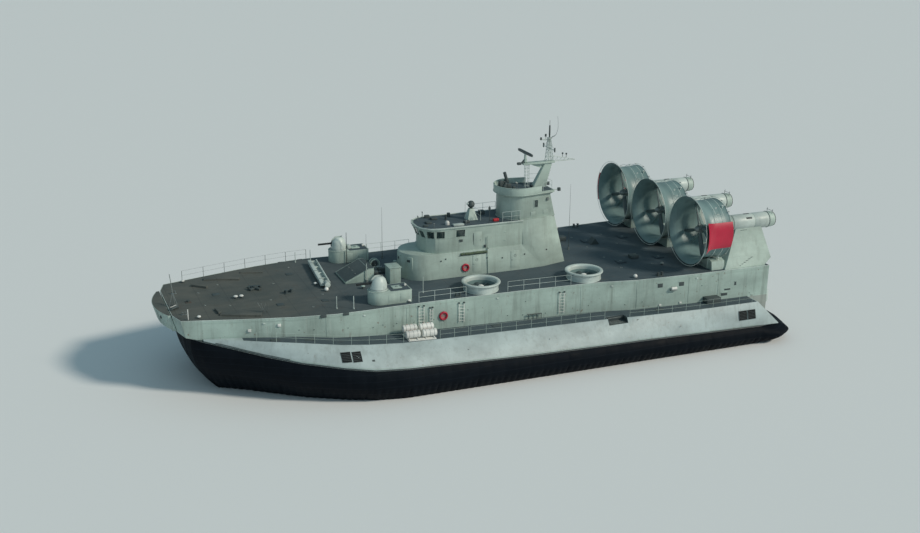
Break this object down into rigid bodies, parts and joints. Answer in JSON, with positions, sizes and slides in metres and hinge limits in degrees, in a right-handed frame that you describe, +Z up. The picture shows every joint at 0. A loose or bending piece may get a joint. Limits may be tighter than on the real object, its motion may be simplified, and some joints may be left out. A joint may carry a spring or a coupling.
{
  "type": "half-size scale model of a large military landing hovercraft",
  "caption": "Air-cushion landing craft with ducted propellers, lift fans, flexible skirt, vehicle hall with ramps, bridge tower and deck guns.",
  "frame": {"origin": "under the middle of the craft at floor level, where the skirt's hem rests", "axes": "+X to the bow, +Y to port, +Z up"},
  "size_m": [29.3763, 12.55, 10.5],
  "materials": {
    "hull_paint": "weathered matt grey-green paint",
    "deck_paint": "dark slate non-slip paint",
    "house_paint": "matt pale grey-green paint",
    "apron_paint": "matt light grey paint",
    "skirt_rubber": "wet blue-black rubberised fabric",
    "duct_paint": "satin pale grey-green paint",
    "blade_paint": "dark satin paint",
    "gun_steel": "dark satin steel"
  },
  "bodies": {
    "hull": {"pontoon": "hull_paint", "bow_block": "hull_paint", "side_hull_port": "hull_paint", "side_hull_starboard": "hull_paint", "main_deck": "deck_paint", "sponson_port": "apron_paint", "sponson_starboard": "apron_paint", "skirt_bow": "skirt_rubber", "skirt_port": "skirt_rubber", "skirt_starboard": "skirt_rubber", "skirt_stern": "skirt_rubber", "cushion_keel": "skirt_rubber", "lift_drum_port_fore": "hull_paint", "lift_drum_port_aft": "hull_paint", "lift_drum_starboard_fore": "hull_paint", "lift_drum_starboard_aft": "hull_paint", "duct_port": "duct_paint", "pylon_port": "house_paint", "duct_centre": "duct_paint", "pylon_centre": "house_paint", "duct_starboard": "duct_paint", "pylon_starboard": "house_paint", "deckhouse": "house_paint", "bridge_walls": "house_paint", "bridge_roof": "house_paint", "tower": "house_paint", "mast": "house_paint", "stowed_gangway": "house_paint", "raft_rack_port": "house_paint", "raft_rack_starboard": "house_paint", "vent_house": "house_paint", "locker_house": "house_paint", "gun_house_port": "house_paint", "gun_house_starboard": "house_paint"},
    "propeller_port": {"propeller_port": "blade_paint"},
    "propeller_centre": {"propeller_centre": "blade_paint"},
    "propeller_starboard": {"propeller_starboard": "blade_paint"},
    "rudder_port_inner": {"rudder_port_inner": "duct_paint"},
    "rudder_port_outer": {"rudder_port_outer": "duct_paint"},
    "rudder_centre_inner": {"rudder_centre_inner": "duct_paint"},
    "rudder_centre_outer": {"rudder_centre_outer": "duct_paint"},
    "rudder_starboard_inner": {"rudder_starboard_inner": "duct_paint"},
    "rudder_starboard_outer": {"rudder_starboard_outer": "duct_paint"},
    "lift_fan_port_fore": {"lift_fan_port_fore": "blade_paint"},
    "lift_fan_port_aft": {"lift_fan_port_aft": "blade_paint"},
    "lift_fan_starboard_fore": {"lift_fan_starboard_fore": "blade_paint"},
    "lift_fan_starboard_aft": {"lift_fan_starboard_aft": "blade_paint"},
    "bow_ramp": {"bow_ramp": "hull_paint"},
    "stern_ramp": {"stern_ramp": "hull_paint"},
    "radar_antenna": {"radar_antenna": "deck_paint"},
    "director_head": {"director_head": "house_paint"},
    "turret_port": {"turret_port": "house_paint"},
    "gun_port": {"gun_port": "gun_steel"},
    "turret_starboard": {"turret_starboard": "house_paint"},
    "gun_starboard": {"gun_starboard": "gun_steel"}
  },
  "joints": [
    {"name": "propeller_port_spin", "type": "hinge", "parent": "hull", "child": "propeller_port", "pos_m": [-10.33, 3.618, 5.354], "axis": [1, 0, 0], "continuous": true},
    {"name": "propeller_centre_spin", "type": "hinge", "parent": "hull", "child": "propeller_centre", "pos_m": [-10.33, 0, 5.354], "axis": [1, 0, 0], "continuous": true},
    {"name": "propeller_starboard_spin", "type": "hinge", "parent": "hull", "child": "propeller_starboard", "pos_m": [-10.33, -3.618, 5.354], "axis": [1, 0, 0], "continuous": true},
    {"name": "rudder_port_inner_turn", "type": "hinge", "parent": "hull", "child": "rudder_port_inner", "pos_m": [-11.01, 2.888, 5.354], "axis": [0, 0, 1], "range_deg": [-30, 30]},
    {"name": "rudder_port_outer_turn", "type": "hinge", "parent": "hull", "child": "rudder_port_outer", "pos_m": [-11.01, 4.348, 5.354], "axis": [0, 0, 1], "range_deg": [-30, 30]},
    {"name": "rudder_centre_inner_turn", "type": "hinge", "parent": "hull", "child": "rudder_centre_inner", "pos_m": [-11.01, -0.73, 5.354], "axis": [0, 0, 1], "range_deg": [-30, 30]},
    {"name": "rudder_centre_outer_turn", "type": "hinge", "parent": "hull", "child": "rudder_centre_outer", "pos_m": [-11.01, 0.73, 5.354], "axis": [0, 0, 1], "range_deg": [-30, 30]},
    {"name": "rudder_starboard_inner_turn", "type": "hinge", "parent": "hull", "child": "rudder_starboard_inner", "pos_m": [-11.01, -2.888, 5.354], "axis": [0, 0, 1], "range_deg": [-30, 30]},
    {"name": "rudder_starboard_outer_turn", "type": "hinge", "parent": "hull", "child": "rudder_starboard_outer", "pos_m": [-11.01, -4.348, 5.354], "axis": [0, 0, 1], "range_deg": [-30, 30]},
    {"name": "lift_fan_port_fore_spin", "type": "hinge", "parent": "hull", "child": "lift_fan_port_fore", "pos_m": [0.66, 3.1, 3.6], "axis": [0, 0, 1], "continuous": true},
    {"name": "lift_fan_port_aft_spin", "type": "hinge", "parent": "hull", "child": "lift_fan_port_aft", "pos_m": [-4.42, 3.3, 3.6], "axis": [0, 0, 1], "continuous": true},
    {"name": "lift_fan_starboard_fore_spin", "type": "hinge", "parent": "hull", "child": "lift_fan_starboard_fore", "pos_m": [0.66, -3.1, 3.6], "axis": [0, 0, 1], "continuous": true},
    {"name": "lift_fan_starboard_aft_spin", "type": "hinge", "parent": "hull", "child": "lift_fan_starboard_aft", "pos_m": [-4.42, -3.3, 3.6], "axis": [0, 0, 1], "continuous": true},
    {"name": "bow_ramp_hinge", "type": "hinge", "parent": "hull", "child": "bow_ramp", "pos_m": [14.0823, 0, 2.775], "axis": [0, 1, 0], "range_deg": [0, 90]},
    {"name": "stern_ramp_hinge", "type": "hinge", "parent": "hull", "child": "stern_ramp", "pos_m": [-13.822, 0, 2.045], "axis": [0, -1, 0], "range_deg": [0, 125]},
    {"name": "radar_spin", "type": "hinge", "parent": "hull", "child": "radar_antenna", "pos_m": [-2.83, 0, 8.85], "axis": [0, 0, 1], "continuous": true},
    {"name": "director_train", "type": "hinge", "parent": "hull", "child": "director_head", "pos_m": [-0.1, 0, 6.6], "axis": [0, 0, 1], "range_deg": [-170, 170]},
    {"name": "turret_port_train", "type": "hinge", "parent": "hull", "child": "turret_port", "pos_m": [5.48, 3.104, 4.1], "axis": [0, 0, 1], "range_deg": [-175, 175]},
    {"name": "gun_port_elevation", "type": "hinge", "parent": "turret_port", "child": "gun_port", "pos_m": [5.48, 3.104, 4.42], "axis": [0, -1, 0], "range_deg": [-10, 85]},
    {"name": "turret_starboard_train", "type": "hinge", "parent": "hull", "child": "turret_starboard", "pos_m": [5.48, -3.104, 4.1], "axis": [0, 0, 1], "range_deg": [-175, 175]},
    {"name": "gun_starboard_elevation", "type": "hinge", "parent": "turret_starboard", "child": "gun_starboard", "pos_m": [5.48, -3.104, 4.42], "axis": [0, -1, 0], "range_deg": [-10, 85]}
  ],
  "couplings": [
    {"joint": "rudder_port_outer_turn", "follows": "rudder_port_inner_turn", "ratio": 1},
    {"joint": "rudder_centre_inner_turn", "follows": "rudder_port_inner_turn", "ratio": 1},
    {"joint": "rudder_centre_outer_turn", "follows": "rudder_port_inner_turn", "ratio": 1},
    {"joint": "rudder_starboard_inner_turn", "follows": "rudder_port_inner_turn", "ratio": 1},
    {"joint": "rudder_starboard_outer_turn", "follows": "rudder_port_inner_turn", "ratio": 1}
  ]
}
